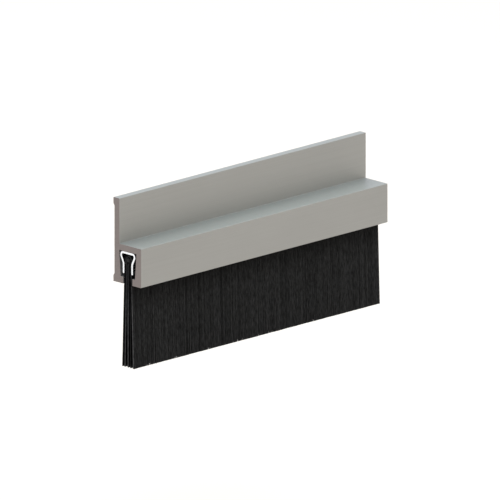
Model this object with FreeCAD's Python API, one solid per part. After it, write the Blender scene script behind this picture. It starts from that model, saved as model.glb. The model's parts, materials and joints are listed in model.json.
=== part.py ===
"""Door sweep: an aluminium carrier that holds a strip brush along the foot of a door.

Millimetres. X runs along the sweep, +Y points at the door and +Z up. The origin is the centre
of the shallow recess in the carrier's back, where adhesive tape fixes the carrier to the door.
"""

import FreeCAD
import Part
import math
import os

from FreeCAD import Vector

LENGTH = 100.0           # every piece is cut to the same length

# Aluminium carrier: a box that holds the brush, with a flange standing up behind it
HEIGHT = 25.0
DEPTH = 11.23            # front of the box to the lands that meet the door
FLANGE = 2.4             # flange thickness, at the lands
LAND_STEP = 0.43         # the lands stand this far out of the tape recess
LAND_HEIGHT = 1.8
LAND_SLOPE = 0.6         # height of the slope between a land and the recess
BOX_HEIGHT = 11.55
BRUSH_DEPTH = 5.38       # front of the box to the middle plane of the brush
CAVITY_TOP_WIDTH = 7.0   # the cavity narrows downwards
CAVITY_BOTTOM_WIDTH = 5.85
CAVITY_BOTTOM = 2.05
CAVITY_TOP = 9.72
MOUTH_WIDTH = 3.72
EDGE_RADIUS = 0.12

# Folded steel channel of the brush, upside down, with its legs crimped in
SHEET = 0.58
CHANNEL_WIDTH = 6.0
CHANNEL_TOP = 9.63
CHANNEL_BOTTOM = 3.15
SHOULDER = 8.3           # the channel is widest above this height
NECK_WIDTH = 4.06
NECK_TOP = 6.25          # the legs are straight and close together below this height
FOLD_RADIUS = 0.8        # top corners, at the middle of the sheet
BEND_RADIUS = 0.6        # shoulder and neck bends, at the middle of the sheet

# Nylon filaments, folded over a core wire inside the channel
WIRE_RADIUS = 0.53
WIRE_HEIGHT = 7.2
LAYER = 0.38             # one layer of filaments over the wire
HALF_LAYER = 0.18        # the innermost layer, whose two legs close into one leaf
LAYER_GAP = 0.02
NECK_HEIGHT = 5.6        # the layers run closest together here
NECK_PITCH = 0.54
FOLD_BOTTOM = -0.37      # the layers end just below the carrier and the leaves start

# The leaves of the brush below the carrier
LEAF_THICKNESS = 0.4
ROOT_PITCH = 0.72
TIPS = (-2.16, -1.08, 0.0, 1.28, 2.16)     # the leaves fan out to here, across from the middle plane
PIVOT = -0.6             # each leaf bends about a line at this height
BRUSH_BOTTOM = -24.8

ALONG = Vector(1, 0, 0)


def point(behind, above):
    """A point of the section, behind the box's front face and above the carrier's bottom."""
    return Vector(-LENGTH / 2, behind - (DEPTH - LAND_STEP), above - HEIGHT / 2)


def brush_point(across, above):
    """A point of the section, measured across from the middle plane of the brush."""
    return point(BRUSH_DEPTH + across, above)


def line(start, end):
    return Part.LineSegment(start, end).toShape()


def arc(start, middle, end):
    return Part.Arc(start, middle, end).toShape()


def rounded(before, corner, after, radius):
    """Start, middle and end of the arc that rounds off a corner."""
    back = (before - corner).normalize()
    onward = (after - corner).normalize()
    half_angle = back.getAngle(onward) / 2
    inward = (back + onward).normalize()
    reach = radius / math.tan(half_angle)
    middle = corner + inward * (radius / math.sin(half_angle) - radius)
    return corner + back * reach, middle, corner + onward * reach


def path(corners):
    """Lines and arcs through a list of (point, radius); the two ends are not rounded."""
    edges = []
    here = corners[0][0]
    for i in range(1, len(corners) - 1):
        corner, radius = corners[i]
        start, middle, end = rounded(corners[i - 1][0], corner, corners[i + 1][0], radius)
        edges.append(line(here, start))
        edges.append(arc(start, middle, end))
        here = end
    edges.append(line(here, corners[-1][0]))
    return edges


def extruded(edges):
    """The solid whose section is enclosed by the edges."""
    outline = Part.Wire(Part.__sortEdges__(edges))
    return Part.Face(outline).extrude(ALONG * LENGTH)


def beside(edge, offset):
    """The line or arc that runs beside an edge at an offset."""
    ends = (edge.FirstParameter, edge.LastParameter)
    places = (ends[0], sum(ends) / 2, ends[1])
    points = [edge.valueAt(at) + edge.tangentAt(at).cross(ALONG) * offset for at in places]
    if isinstance(edge.Curve, Part.Line):
        return line(points[0], points[2])
    return arc(*points)


def strip(edges, thickness):
    """A sheet of even thickness that follows a smooth path and has round ends."""
    half = thickness / 2
    first, last = edges[0], edges[-1]
    start = first.valueAt(first.FirstParameter)
    end = last.valueAt(last.LastParameter)
    before_start = start - first.tangentAt(first.FirstParameter) * half
    past_end = end + last.tangentAt(last.LastParameter) * half
    one_side = [beside(edge, half) for edge in edges]
    other_side = [beside(edge, -half) for edge in edges]
    start_cap = arc(one_side[0].firstVertex().Point, before_start, other_side[0].firstVertex().Point)
    end_cap = arc(one_side[-1].lastVertex().Point, past_end, other_side[-1].lastVertex().Point)
    return extruded(one_side + [end_cap] + other_side + [start_cap])


def carrier():
    """The extrusion: box, flange, undercut cavity for the brush, and the recess for the tape."""
    flange_front = DEPTH - FLANGE
    recess = DEPTH - LAND_STEP
    slope_end = LAND_HEIGHT + LAND_SLOPE
    corners = [
        point(0, 0),
        point(0, BOX_HEIGHT),
        point(flange_front, BOX_HEIGHT),
        point(flange_front, HEIGHT),
        point(DEPTH, HEIGHT),
        point(DEPTH, HEIGHT - LAND_HEIGHT),
        point(recess, HEIGHT - slope_end),
        point(recess, slope_end),
        point(DEPTH, LAND_HEIGHT),
        point(DEPTH, 0),
        brush_point(MOUTH_WIDTH / 2, 0),
        brush_point(MOUTH_WIDTH / 2, CAVITY_BOTTOM),
        brush_point(CAVITY_BOTTOM_WIDTH / 2, CAVITY_BOTTOM),
        brush_point(CAVITY_TOP_WIDTH / 2, CAVITY_TOP),
        brush_point(-CAVITY_TOP_WIDTH / 2, CAVITY_TOP),
        brush_point(-CAVITY_BOTTOM_WIDTH / 2, CAVITY_BOTTOM),
        brush_point(-MOUTH_WIDTH / 2, CAVITY_BOTTOM),
        brush_point(-MOUTH_WIDTH / 2, 0),
    ]
    seam = ((corners[0] + corners[-1]) / 2, 0)
    return extruded(path([seam] + [(corner, EDGE_RADIUS) for corner in corners] + [seam]))


def brush_channel():
    """The folded steel channel that grips the filaments."""
    leg = (NECK_WIDTH - SHEET) / 2
    side = (CHANNEL_WIDTH - SHEET) / 2
    top = CHANNEL_TOP - SHEET / 2
    end = CHANNEL_BOTTOM + SHEET / 2
    front = [
        (brush_point(-leg, end), 0),
        (brush_point(-leg, NECK_TOP), BEND_RADIUS),
        (brush_point(-side, SHOULDER), BEND_RADIUS),
        (brush_point(-side, top), FOLD_RADIUS),
    ]
    back = [
        (brush_point(side, top), FOLD_RADIUS),
        (brush_point(side, SHOULDER), BEND_RADIUS),
        (brush_point(leg, NECK_TOP), BEND_RADIUS),
        (brush_point(leg, end), 0),
    ]
    return strip(path(front + back), SHEET)


def core_wire():
    """The wire that the filaments are folded over."""
    return Part.makeCylinder(WIRE_RADIUS, LENGTH, brush_point(0, WIRE_HEIGHT), ALONG)


def filament_fold(radius, thickness, neck, root):
    """A layer of filaments: up one side, over the core wire and down the other side."""
    drop = WIRE_HEIGHT - NECK_HEIGHT
    touch = math.acos(radius / math.hypot(neck, drop)) - math.atan2(drop, neck)
    touch_across = radius * math.cos(touch)
    touch_height = WIRE_HEIGHT + radius * math.sin(touch)
    end = FOLD_BOTTOM + thickness / 2
    top = brush_point(0, WIRE_HEIGHT + radius)
    over = arc(brush_point(-touch_across, touch_height), top, brush_point(touch_across, touch_height))
    front_bend = (brush_point(-neck, NECK_HEIGHT), BEND_RADIUS)
    back_bend = (brush_point(neck, NECK_HEIGHT), BEND_RADIUS)
    front = path([(brush_point(-root, end), 0), front_bend, (brush_point(-touch_across, touch_height), 0)])
    back = path([(brush_point(touch_across, touch_height), 0), back_bend, (brush_point(root, end), 0)])
    return strip(front + [over] + back, thickness)


def filament_folds():
    """Three nested layers; their legs carry on as the leaves of the brush."""
    closed = (HALF_LAYER + LAYER_GAP) / 2
    layers = [
        ("inner", HALF_LAYER, closed, closed),
        ("middle", LAYER, NECK_PITCH, ROOT_PITCH),
        ("outer", LAYER, 2 * NECK_PITCH, 2 * ROOT_PITCH),
    ]
    folds = {}
    inside = WIRE_RADIUS + LAYER_GAP
    for name, thickness, neck, root in layers:
        folds["bristle_fold_" + name] = filament_fold(inside + thickness / 2, thickness, neck, root)
        inside += thickness + LAYER_GAP
    return folds


def bristle_leaf(root_across, tip_across):
    """One leaf of filaments; its top is round about the line that it bends on."""
    root = brush_point(root_across, PIVOT)
    tip = brush_point(tip_across, BRUSH_BOTTOM + LEAF_THICKNESS / 2)
    return strip([line(root, tip)], LEAF_THICKNESS)


def door_sweep():
    """Every piece by its node name."""
    pieces = {"carrier": carrier(), "brush_channel": brush_channel(), "core_wire": core_wire()}
    pieces.update(filament_folds())
    for i, tip_across in enumerate(TIPS):
        root_across = (i - (len(TIPS) - 1) / 2) * ROOT_PITCH
        pieces[f"bristle_leaf_{i + 1}"] = bristle_leaf(root_across, tip_across)
    return pieces


os.makedirs("parts", exist_ok=True)
for node, solid in door_sweep().items():
    assert solid.isValid() and solid.ShapeType == "Solid", node
    solid.exportStep(f"parts/{node}.step")
    print(node, round(solid.Volume, 2), "mm3")
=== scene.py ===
"""Looks of the door sweep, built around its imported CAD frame. Metres, in the frame's own axes."""

import json
import math

import bpy
import numpy as np
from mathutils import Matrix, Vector


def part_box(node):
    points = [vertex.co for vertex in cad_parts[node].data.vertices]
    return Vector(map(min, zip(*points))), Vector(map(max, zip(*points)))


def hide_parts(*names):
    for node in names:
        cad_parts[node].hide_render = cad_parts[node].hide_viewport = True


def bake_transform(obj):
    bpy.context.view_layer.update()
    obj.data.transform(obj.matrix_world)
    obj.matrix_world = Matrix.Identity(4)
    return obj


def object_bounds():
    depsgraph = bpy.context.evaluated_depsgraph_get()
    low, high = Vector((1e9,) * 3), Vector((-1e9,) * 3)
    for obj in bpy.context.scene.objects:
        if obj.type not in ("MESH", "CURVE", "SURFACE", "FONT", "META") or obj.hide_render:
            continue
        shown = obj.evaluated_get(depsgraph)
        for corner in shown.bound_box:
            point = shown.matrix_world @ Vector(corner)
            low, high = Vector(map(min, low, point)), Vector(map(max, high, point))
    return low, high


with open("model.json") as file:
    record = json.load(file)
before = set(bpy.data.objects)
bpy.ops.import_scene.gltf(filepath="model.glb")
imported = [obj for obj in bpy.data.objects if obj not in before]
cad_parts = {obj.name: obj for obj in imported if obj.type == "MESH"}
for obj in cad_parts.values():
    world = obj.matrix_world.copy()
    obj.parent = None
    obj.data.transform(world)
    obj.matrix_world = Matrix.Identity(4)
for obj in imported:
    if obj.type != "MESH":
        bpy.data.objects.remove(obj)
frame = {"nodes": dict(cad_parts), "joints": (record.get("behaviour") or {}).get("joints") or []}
cad_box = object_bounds()

MM = 0.001
SEED = 7

# The camera of a catalogue picture: no perspective, half from the front and half from the left end
VIEW_AZIMUTH = math.radians(-45)
VIEW_ELEVATION = math.radians(15.52)
VIEW_WIDTH = 143.48 * MM      # what the picture shows from side to side
VIEW_DISTANCE = 0.6
AIM_RIGHT = -0.13 * MM        # the picture is centred this far from the middle of the object
AIM_UP = 0.363 * MM

# Studio
FLOOR_GAP = 60 * MM           # from the tips of the brush down to the floor
FLOOR_REACH = 4.0             # from the middle of the floor to each side
LIGHT_DISTANCE = 1.2

# Nylon filaments
LEAVES = 5
FILAMENTS_IN_A_RANK = 434     # a leaf has two ranks, one behind the other
FILAMENT_RADIUS = 0.1 * MM
FILAMENT_SIDES = 5
RANK_OFFSET = 0.1 * MM        # each rank lies this far from the middle of its leaf
LAYER = 0.38 * MM             # two ranks of filaments folded over the core wire together
NECK_PITCH = 0.54 * MM        # from one layer to the next where the channel is narrow
NECK_BELOW_WIRE = 1.6 * MM
BEND_LENGTH = 5.0 * MM        # the filaments bend over this length, half of it above their joint
TIP_CHAMFER = 0.04 * MM       # round the tip of each filament
SHORTER = 0.12 * MM           # leaves 2 to 5 and the end filament of leaf 1 stop this much higher

# Where the rings of a filament's mesh are
RINGS_OVER_WIRE = 5
RINGS_ABOVE_JOINT = (1.0, 0.5, 0.0)       # shares of half the bend, measured up from the joint
RINGS_BELOW_JOINT = (0.3, 0.65, 1.0)      # shares of half the bend, measured down from the joint
RINGS_BELOW_BEND = (0.3, 0.6)             # shares of the free length

# How uneven the filaments are: a slow drift along the sweep, given by the distance over which it
# changes and its size, and a spread from filament to filament. Sizes are standard deviations.
PLACE_SPREAD = 0.02 * MM                  # of their places along the sweep
LEAN_ALONG = (1.7 * MM, 0.045 * MM)       # of the tips, along the sweep
LEAN_ACROSS = (3.1 * MM, 0.03 * MM)       # of the tips, to the front or back
LEAN_SPREAD = 0.03 * MM
TIP_DRIFT = (2.3 * MM, 0.012 * MM)        # of the height of the tips
TIP_SPREAD = 0.012 * MM
SHADE_DRIFT = (0.9 * MM, 0.06)
SHADE_SPREAD = 0.17
END_ZONE = 1.2 * MM                       # they are more even this close to the sweep's ends
LEAN_CURVE = 1.5                          # the power of the free length by which they lean

# How light a filament is, next to an ordinary one on the outside of the brush; the end and inner
# filaments carry painted highlights and painted shade
SHADE_LIMITS = (0.3, 1.8)
# Painted light: the end filaments of leaves 1, 3 and 4 are lighter as a painted highlight on the
# leaf ends, and those of leaves 2 and 5 are darker as painted shade
END_PAINTED_LIGHT_AND_SHADE = (3.0, 0.6, 3.2, 2.8, 0.6)    # the end filaments of each leaf, front to back
# Painted shade: the end filaments of a leaf's second rank are darker, so the gaps between the leaf
# ends look shaded
BACK_RANK_END_PAINTED_SHADE = 0.35                      # those of its second rank, next to the end ones
# Painted shade: the filaments inside the brush, between the leaves, are darkened
INNER_PAINTED_SHADE = 0.12                        # the filaments inside the brush

# The light and dark patches along the filaments, and the shadow of the carrier on them
PATCHES_PER_FILAMENT = 1.37               # steps through the noise, from one filament to the next
PATCHES_PER_METRE = 560.0                 # and along a filament
PATCHES_START = 1000.0                    # each rank starts at random within this much of the noise
PATCH_TONES = (0.57, 1.43)
SHADOW_TONE = 0.52                        # at the root
SHADOW_END = 7.4 * MM                     # it has faded this far below the root
NYLON_SHEEN = 0.153

# Metal
CAVITY_MARGIN = Vector((0, 0.9 * MM, 1.2 * MM))     # the cavity lies this close to the channel
# Painted shade: the skin is this much darker in the cavity round the channel
CAVITY_PAINTED_SHADE = 0.7
DIE_LINE_HEIGHT = 0.003 * MM
SAW_DEPTH = 2.0                           # of the saw marks, next to the die lines
DRAWN_LINE_HEIGHT = 0.002 * MM            # on the channel and the wire


def rgb(red, green, blue):
    return (red, green, blue, 1.0)


ANODISED = rgb(0.2965, 0.289, 0.285)
CUT_ALUMINIUM = rgb(0.2395, 0.2068, 0.1912)
# The rolled sides of the channel: galvanised grey, darkened further as painted shade
GALVANISED_WITH_PAINTED_SHADE = rgb(0.335, 0.34, 0.345)
CUT_STEEL = rgb(0.96, 0.97, 0.98)
# Painted shade: the wire deep in the channel is made nearly black
WIRE_IN_PAINTED_SHADE = rgb(0.028, 0.028, 0.029)
NYLON = rgb(0.0097, 0.0099, 0.011)
FLOOR = rgb(0.7, 0.62, 0.59)
SKY = rgb(1.0, 1.0, 1.12)


# ---------------------------------------------------------------- shader nodes

class Shader:
    """A Principled material with short calls for the nodes that feed it."""

    def __init__(self, name):
        self.material = bpy.data.materials.new(name)
        self.material.use_nodes = True
        self.tree = self.material.node_tree
        self.surface = self.tree.nodes["Principled BSDF"]

    def node(self, kind, **settings):
        made = self.tree.nodes.new("ShaderNode" + kind)
        for setting, value in settings.items():
            setattr(made, setting, value)
        return made

    def link(self, value, socket):
        """Feeds a socket with another socket, or sets it to a plain value."""
        if isinstance(value, bpy.types.NodeSocket):
            self.tree.links.new(value, socket)
        else:
            socket.default_value = value

    def set(self, name, value):
        self.link(value, self.surface.inputs[name])

    def math(self, operation, a, b=0.0):
        made = self.node("Math", operation=operation)
        self.link(a, made.inputs[0])
        self.link(b, made.inputs[1])
        return made.outputs[0]

    def split(self, vector):
        """The X, Y and Z of a vector."""
        made = self.node("SeparateXYZ")
        self.link(vector, made.inputs[0])
        return made.outputs

    def place(self, scale=(1, 1, 1)):
        """The point in the object's own metres, stretched by a scale."""
        mapping = self.node("Mapping")
        self.link(self.node("TexCoord").outputs["Object"], mapping.inputs["Vector"])
        self.link(scale, mapping.inputs["Scale"])
        return mapping.outputs["Vector"]

    def noise_at(self, vector, detail, roughness=0.5, dimensions="3D"):
        """Noise from 0 to 1 at a point, with a wavelength of about 1."""
        made = self.node("TexNoise", noise_dimensions=dimensions)
        settings = {"Vector": vector, "Scale": 1.0, "Detail": detail, "Roughness": roughness}
        for name, value in settings.items():
            self.link(value, made.inputs[name])
        return made.outputs["Fac"]

    def noise(self, scale, detail=3.0, roughness=0.5):
        """Noise from 0 to 1 with a wavelength along each axis of about 1 / scale metres."""
        return self.noise_at(self.place(scale), detail, roughness)

    def spread(self, value, low, high, from_low=0.3, from_high=0.7):
        """A value from from_low to from_high, mapped to low to high and held there."""
        made = self.node("MapRange")
        settings = {"Value": value, "From Min": from_low, "From Max": from_high,
                    "To Min": low, "To Max": high}
        for name, number in settings.items():
            self.link(number, made.inputs[name])
        return made.outputs["Result"]

    def mix(self, kind, factor, a, b):
        """a where the factor is 0, b where it is 1. kind is FLOAT for numbers, RGBA for colours."""
        made = self.node("Mix", data_type=kind)
        sockets = [socket for socket in made.inputs if socket.enabled]
        for value, socket in zip((factor, a, b), sockets):
            self.link(value, socket)
        return next(socket for socket in made.outputs if socket.enabled)

    def tone(self, colour, factor):
        """A colour made lighter or darker by a factor."""
        made = self.node("VectorMath", operation="SCALE")
        self.link(colour[:3] if isinstance(colour, tuple) else colour, made.inputs[0])
        self.link(factor, made.inputs["Scale"])
        return made.outputs[0]

    def facing(self, axis, at_least=0.9):
        """1 on faces whose normal lies along an axis of the object, 0 on the others."""
        normal = self.split(self.node("NewGeometry").outputs["True Normal"])
        return self.math("GREATER_THAN", self.math("ABSOLUTE", normal[axis]), at_least)

    def within(self, low, high):
        """1 inside a box seen along X, given by its corners in the object's metres, 0 outside."""
        point = self.split(self.place())
        result = 1.0
        for axis in (1, 2):
            above = self.math("GREATER_THAN", point[axis], low[axis])
            below = self.math("LESS_THAN", point[axis], high[axis])
            result = self.math("MULTIPLY", result, self.math("MULTIPLY", above, below))
        return result

    def bump(self, height, distance):
        made = self.node("Bump")
        self.link(distance, made.inputs["Distance"])
        self.link(height, made.inputs["Height"])
        self.set("Normal", made.outputs["Normal"])


# ---------------------------------------------------------------- materials
# A noise's three numbers are its waves per metre along X, Y and Z.

def anodised_aluminium():
    """Satin anodised extrusion: die lines along its length, saw marks on its cut ends and painted
    shade in the cavity round the channel.
    """
    s = Shader("anodised_aluminium")
    cut = s.facing("X")
    die_lines = s.noise((12, 2600, 2600), detail=4.0, roughness=0.6)
    fine_lines = s.noise((45, 9000, 9000), detail=2.0)
    cloud = s.noise((35, 60, 60), detail=2.0)
    saw = s.noise((400, 500, 5200))
    drawn = s.math("MULTIPLY", s.spread(die_lines, 0.98, 1.02), s.spread(cloud, 0.98, 1.02))
    low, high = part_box("brush_channel")
    # painted shade in the cavity round the channel
    cavity = s.within(low - CAVITY_MARGIN, high + CAVITY_MARGIN)
    skin = s.tone(s.tone(ANODISED, drawn), s.spread(cavity, 1.0, CAVITY_PAINTED_SHADE, 0.0, 1.0))
    bare = s.tone(CUT_ALUMINIUM, s.spread(saw, 0.94, 1.06))
    s.set("Base Color", s.mix("RGBA", cut, skin, bare))
    s.set("Metallic", 0.35)
    s.set("Specular IOR Level", 0.26)
    rough_skin, rough_cut = s.spread(fine_lines, 0.38, 0.48), s.spread(saw, 0.55, 0.66)
    s.set("Roughness", s.mix("FLOAT", cut, rough_skin, rough_cut))
    saw_marks = s.math("MULTIPLY", saw, s.math("MULTIPLY", cut, SAW_DEPTH))
    s.bump(s.math("ADD", die_lines, saw_marks), DIE_LINE_HEIGHT)
    return s.material


def plated_steel():
    """Galvanised strip with the faint lines of the rolling mill; its rolled sides are grey, partly
    from the finish's own colour and partly from painted shade, and its cut ends are bright.
    """
    s = Shader("plated_steel")
    cut = s.facing("X")
    rolled = s.noise((30, 4000, 4000))
    cloud = s.noise((180, 900, 900), detail=2.0)
    # partly the galvanised finish, partly painted shade
    spangled_with_painted_shade = s.tone(GALVANISED_WITH_PAINTED_SHADE, s.spread(cloud, 0.85, 1.1))
    s.set("Base Color", s.mix("RGBA", cut, spangled_with_painted_shade, CUT_STEEL))
    s.set("Metallic", s.spread(cut, 1.0, 0.35, 0.0, 1.0))
    s.set("Roughness", s.spread(rolled, 0.2, 0.34))
    s.bump(rolled, DRAWN_LINE_HEIGHT)
    return s.material


def drawn_wire():
    """Drawn steel wire, slightly dull, its colour darkened nearly to black as painted shade."""
    s = Shader("drawn_wire")
    drawn = s.noise((60, 6000, 6000))
    s.set("Base Color", s.tone(WIRE_IN_PAINTED_SHADE, s.spread(drawn, 0.8, 1.1)))
    s.set("Metallic", 1.0)
    s.set("Roughness", s.spread(drawn, 0.35, 0.5))
    s.bump(drawn, DRAWN_LINE_HEIGHT)
    return s.material


def black_nylon():
    """Black nylon filaments, by the strand value that each point of their meshes has."""
    s = Shader("black_nylon")
    strand = s.node("Attribute", attribute_name="strand").outputs["Vector"]
    number, below_root, shade = s.split(strand)
    place = s.node("CombineXYZ")
    s.link(s.math("MULTIPLY", number, PATCHES_PER_FILAMENT), place.inputs["X"])
    s.link(s.math("MULTIPLY", below_root, PATCHES_PER_METRE), place.inputs["Y"])
    patches = s.noise_at(place.outputs[0], detail=3.0, dimensions="2D")
    shadow = s.spread(below_root, SHADOW_TONE, 1.0, 0.0, SHADOW_END)
    # the shade of each filament holds painted highlights and painted shade, and the carrier's
    # shadow is painted on
    light = s.math("MULTIPLY", s.math("MULTIPLY", shade, s.spread(patches, *PATCH_TONES)), shadow)
    s.set("Base Color", s.tone(NYLON, light))
    s.set("Specular IOR Level", s.math("MULTIPLY", light, NYLON_SHEEN))
    s.set("Roughness", s.spread(patches, 0.5, 0.4))
    return s.material


def white_floor():
    s = Shader("white_floor")
    s.set("Base Color", FLOOR)
    s.set("Roughness", 0.9)
    s.set("Specular IOR Level", 0.0)
    return s.material


# ---------------------------------------------------------------- filaments

def middle(node):
    low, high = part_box(node)
    return (low + high) / 2


def wander(places, spacing, size, rng):
    """A slow random drift along the sweep, the same for filaments that stand together."""
    knots = np.arange(places.min() - 2 * spacing, places.max() + 3 * spacing, spacing)
    return np.interp(places, knots, rng.normal(0, size, len(knots)))


def uneven(places, drift, spread, rng):
    """A drift along the sweep, and a random amount for each filament."""
    return wander(places, *drift, rng) + rng.normal(0, spread, len(places))


def touch_angle(radius, neck, drop):
    """Where a line from the neck touches a circle about the core wire, from the +Y axis."""
    return math.acos(radius / math.hypot(neck, drop)) - math.atan2(drop, neck)


def filament_line(side, radius, neck, root, tip):
    """One filament in the section, from the top of the core wire down to its tip.

    side is -1 for the front and 1 for the back; radius is that of its turn about the wire. neck,
    root and tip are (y, z) points that it passes; the joint of its leaf is at the root. Returns the
    y and z of every ring, how far along the free length it is, from 0 to 1, and how far it is below
    the root, or -1 from the neck up.
    """
    wire = middle("core_wire")
    low = touch_angle(radius, abs(neck[0] - wire.y), wire.z - neck[1])
    rings = []
    for angle in np.linspace(math.pi / 2, low, RINGS_OVER_WIRE):
        y = wire.y + side * radius * math.cos(angle)
        z = wire.z + radius * math.sin(angle)
        rings.append((y, z, 0.0, -1.0))
    rings.append((*neck, 0.0, -1.0))

    half_bend = BEND_LENGTH / 2
    drop = Vector(root) - Vector(neck)
    for share in RINGS_ABOVE_JOINT:
        above = half_bend * share
        rings.append((*(Vector(root) - drop * (above / drop.length)), 0.0, -above))
    run = Vector(tip) - Vector(root)
    bend = half_bend / run.length
    tip_shares = (1 - TIP_CHAMFER / run.length, 1.0)
    for share in (*(bend * part for part in RINGS_BELOW_JOINT), *RINGS_BELOW_BEND, *tip_shares):
        rings.append((*(Vector(root) + run * share), share, -run.y * share))
    return np.array(rings).T


def tubes(name, lines, radii):
    """One mesh of closed tubes. lines has a row of points for each; radii has one for each ring."""
    count, rings, _ = lines.shape
    along = np.gradient(lines, axis=1)
    along /= np.linalg.norm(along, axis=2, keepdims=True)
    sideways = np.array([1.0, 0.0, 0.0]) - along * along[:, :, :1]
    sideways /= np.linalg.norm(sideways, axis=2, keepdims=True)
    outward = np.cross(along, sideways)
    turn = (np.arange(FILAMENT_SIDES) * 2 * math.pi / FILAMENT_SIDES)[:, None]
    ring = sideways[:, :, None] * np.cos(turn) + outward[:, :, None] * np.sin(turn)
    corners = lines[:, :, None] + ring * radii[None, :, None, None]

    around = np.arange(FILAMENT_SIDES)
    onward = (around + 1) % FILAMENT_SIDES
    first = (np.arange(rings - 1) * FILAMENT_SIDES)[:, None]
    quads = np.stack([first + around, first + onward,
                      first + FILAMENT_SIDES + onward, first + FILAMENT_SIDES + around], axis=-1)
    start_cap = around[::-1]
    end_cap = (rings - 1) * FILAMENT_SIDES + around
    faces = quads.reshape(-1, 4).tolist() + [start_cap.tolist(), end_cap.tolist()]
    step = rings * FILAMENT_SIDES
    all_faces = [[corner + k * step for corner in face] for k in range(count) for face in faces]

    mesh = bpy.data.meshes.new(name)
    mesh.from_pydata(corners.reshape(-1, 3).tolist(), [], all_faces)
    mesh.shade_smooth()
    mesh.update()
    return add(name, mesh)


def rank_of_filaments(number, rank, root, rng):
    """The filaments of one rank of a leaf: their points, and the strand value of each point.

    rank is -1 for the rank in front and 1 for the one behind; root is the (y, z) point of the
    leaf's joint. A strand value holds the filament's number, how far the point is below the root
    and the filament's shade.
    """
    from_middle = number - (LEAVES + 1) / 2
    wire = middle("core_wire")
    wire_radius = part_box("core_wire")[1].z - wire.z
    low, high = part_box(f"bristle_leaf_{number}")
    if from_middle:
        side = math.copysign(1, from_middle)
        turn = wire_radius + abs(from_middle) * LAYER + side * rank * RANK_OFFSET + FILAMENT_RADIUS
        leaf_thickness = (high.z - root[1]) * 2
        lean = math.copysign(high.y - low.y - leaf_thickness, from_middle)
    else:
        side = rank
        turn = wire_radius + FILAMENT_RADIUS
        lean = 0.0
    shift = rank * RANK_OFFSET
    neck = (wire.y + from_middle * NECK_PITCH + shift, wire.z - NECK_BELOW_WIRE)
    tip = (root[0] + lean + shift, low.z)
    y, z, free, below_root = filament_line(side, turn, neck, (root[0] + shift, root[1]), tip)

    left, right = low.x + FILAMENT_RADIUS, high.x - FILAMENT_RADIUS
    x = np.linspace(left, right, FILAMENTS_IN_A_RANK)
    inside = np.clip(np.minimum(x - left, right - x) / END_ZONE, 0, 1)
    behind_gaps = (x[1] - x[0]) / 2 * (rank > 0)
    x = x + inside * (behind_gaps + rng.normal(0, PLACE_SPREAD, len(x)))
    lean_along = inside * uneven(x, LEAN_ALONG, LEAN_SPREAD, rng)
    lean_across = inside * uneven(x, LEAN_ACROSS, LEAN_SPREAD, rng)
    drift = wander(x, *TIP_DRIFT, rng)
    short = inside * (np.abs(drift) + np.abs(rng.normal(0, TIP_SPREAD, len(x))))
    full_length = (number == 1) & (np.arange(len(x)) > 0)
    short += np.where(full_length, 0, SHORTER)
    bow = free ** LEAN_CURVE
    points = np.zeros((len(x), len(free), 3))
    points[:, :, 0] = np.clip(x[:, None] + lean_along[:, None] * bow, left, right)
    points[:, :, 1] = y + lean_across[:, None] * bow
    points[:, :, 2] = z + short[:, None] * free

    outside = rank * from_middle == (LEAVES - 1) / 2
    shade = np.clip(1 + uneven(x, SHADE_DRIFT, SHADE_SPREAD, rng), *SHADE_LIMITS)
    # painted shade on the filaments inside the brush
    shade *= 1.0 if outside else INNER_PAINTED_SHADE
    # painted highlight or painted shade on the end filaments of each leaf
    shade[[0, -1]] = END_PAINTED_LIGHT_AND_SHADE[number - 1] * (1.0 if rank < 0 else BACK_RANK_END_PAINTED_SHADE)
    strands = np.zeros_like(points)
    strands[:, :, 0] = (np.arange(len(x)) + rng.uniform(0, PATCHES_START))[:, None]
    strands[:, :, 1] = below_root
    strands[:, :, 2] = shade[:, None]
    return points, strands


def leaf_of_filaments(number, material):
    """The filaments of one leaf, in two ranks, from the core wire to their tips."""
    rng = np.random.default_rng(SEED + number)
    joint = next(joint for joint in frame["joints"] if joint["child"] == f"leaf_{number}")
    root = (joint["pos_m"][1], joint["pos_m"][2])
    ranks = [rank_of_filaments(number, rank, root, rng) for rank in (-1, 1)]
    lines, strands = (np.concatenate(parts) for parts in zip(*ranks))
    radii = np.full(lines.shape[1], FILAMENT_RADIUS)
    radii[-1] -= TIP_CHAMFER
    piece = tubes(f"filaments_leaf_{number}", lines, radii)
    marks = piece.data.attributes.new("strand", "FLOAT_VECTOR", "POINT")
    at_corners = np.repeat(strands, FILAMENT_SIDES, axis=1)
    marks.data.foreach_set("vector", at_corners.astype(np.float32).ravel())
    piece.data.materials.append(material)
    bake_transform(piece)
    return piece


def brush():
    nylon = black_nylon()
    folds = {1: ("bristle_fold_outer",), 2: ("bristle_fold_middle",), 3: ("bristle_fold_inner",)}
    for number in range(1, LEAVES + 1):
        piece = leaf_of_filaments(number, nylon)
        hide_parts(f"bristle_leaf_{number}", *folds.get(number, ()))


# ---------------------------------------------------------------- CAD pieces

def dress(node, material):
    """Gives a CAD node a finished material."""
    piece = frame["nodes"][node]
    if not piece.material_slots:
        piece.data.materials.append(None)
    for holder in piece.material_slots:
        holder.material = material


# ---------------------------------------------------------------- studio

def add(name, data):
    """A new object in the scene, from its mesh, light or camera."""
    made = bpy.data.objects.new(name, data)
    bpy.context.scene.collection.objects.link(made)
    return made


def middle_of_object():
    return (Vector(cad_box[0]) + Vector(cad_box[1])) / 2


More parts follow.
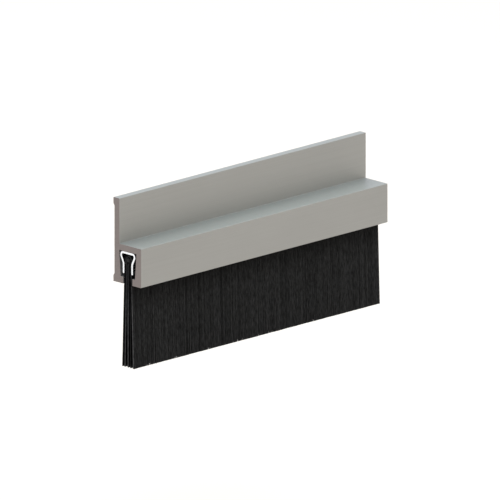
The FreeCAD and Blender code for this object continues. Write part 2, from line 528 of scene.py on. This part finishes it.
def floor():
    """A plain pale floor below the brush."""
    level = cad_box[0][2] - FLOOR_GAP
    low, high = -FLOOR_REACH, FLOOR_REACH
    corners = [(low, low, level), (high, low, level), (high, high, level), (low, high, level)]
    mesh = bpy.data.meshes.new("floor")
    mesh.from_pydata(corners, [], [(0, 1, 2, 3)])
    mesh.materials.append(white_floor())
    add("floor", mesh)


def softbox(name, towards, size, power, colour):
    """A square area light that shines at the object from a direction."""
    light = bpy.data.lights.new(name, "AREA")
    light.shape = "SQUARE"
    light.size = size
    light.energy = power
    light.color = colour
    holder = add(name, light)
    direction = Vector(towards).normalized()
    holder.location = middle_of_object() + direction * LIGHT_DISTANCE
    holder.rotation_euler = direction.to_track_quat("Z", "Y").to_euler()


def sky(strength, colour):
    world = bpy.data.worlds.new("studio")
    bpy.context.scene.world = world
    world.use_nodes = True
    background = world.node_tree.nodes["Background"]
    background.inputs["Color"].default_value = colour
    background.inputs["Strength"].default_value = strength


def camera():
    lens = bpy.data.cameras.new("camera")
    lens.type = "ORTHO"
    lens.ortho_scale = VIEW_WIDTH
    holder = add("camera", lens)
    backward = Vector((
        math.sin(VIEW_AZIMUTH) * math.cos(VIEW_ELEVATION),
        -math.cos(VIEW_AZIMUTH) * math.cos(VIEW_ELEVATION),
        math.sin(VIEW_ELEVATION),
    ))
    right = Vector((math.cos(VIEW_AZIMUTH), math.sin(VIEW_AZIMUTH), 0))
    up = backward.cross(right)
    aim = middle_of_object() + right * AIM_RIGHT + up * AIM_UP
    holder.location = aim + backward * VIEW_DISTANCE
    holder.rotation_euler = backward.to_track_quat("Z", "Y").to_euler()
    bpy.context.scene.camera = holder


camera()
dress("carrier", anodised_aluminium())
dress("brush_channel", plated_steel())
dress("core_wire", drawn_wire())
brush()
floor()
sky(strength=0.82, colour=SKY)
softbox("top", towards=(0.05, -0.1, 1.0), size=1.4, power=11.0, colour=(0.67, 1.02, 0.98))
softbox("back", towards=(0.05, 0.3, 1.0), size=1.0, power=9.0, colour=(1.0, 1.02, 0.91))
softbox("front", towards=(0.1, -1.0, 0.1), size=1.2, power=5.0, colour=(1.0, 0.9, 0.35))
bpy.context.scene.view_settings.view_transform = "Standard"
